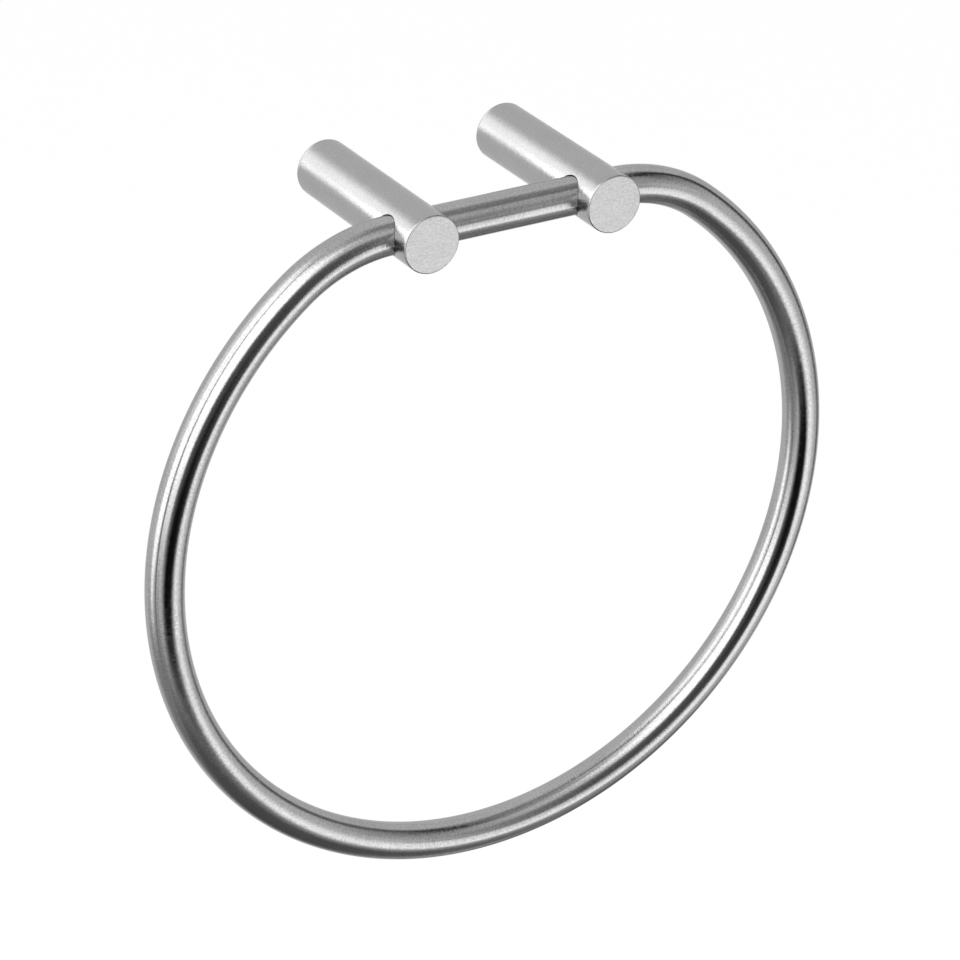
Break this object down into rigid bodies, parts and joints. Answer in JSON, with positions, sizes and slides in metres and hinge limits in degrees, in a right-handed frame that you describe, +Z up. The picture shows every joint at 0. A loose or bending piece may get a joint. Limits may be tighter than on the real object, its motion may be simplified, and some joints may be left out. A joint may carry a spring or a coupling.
{
  "type": "hand towel holder",
  "caption": "Steel towel ring with a straight top bar, carried in the cross holes of plain round wall posts that slip over screwed spigots.",
  "frame": {"origin": "on the wall plane, midway between the axes of the posts", "axes": "+X along the straight bar, +Y into the wall along the posts, +Z up"},
  "size_m": [0.2, 0.0545, 0.1917],
  "materials": {
    "ring_steel": "fine brushed, half bright",
    "post_steel": "satin brushed",
    "fixing_steel": "plain turned"
  },
  "bodies": {
    "root": {"ring": "ring_steel", "left_post": "post_steel", "right_post": "post_steel", "left_wall_spigot": "fixing_steel", "right_wall_spigot": "fixing_steel", "left_lock_screw": "fixing_steel", "right_lock_screw": "fixing_steel", "left_ring_screw": "fixing_steel", "right_ring_screw": "fixing_steel"}
  },
  "joints": []
}
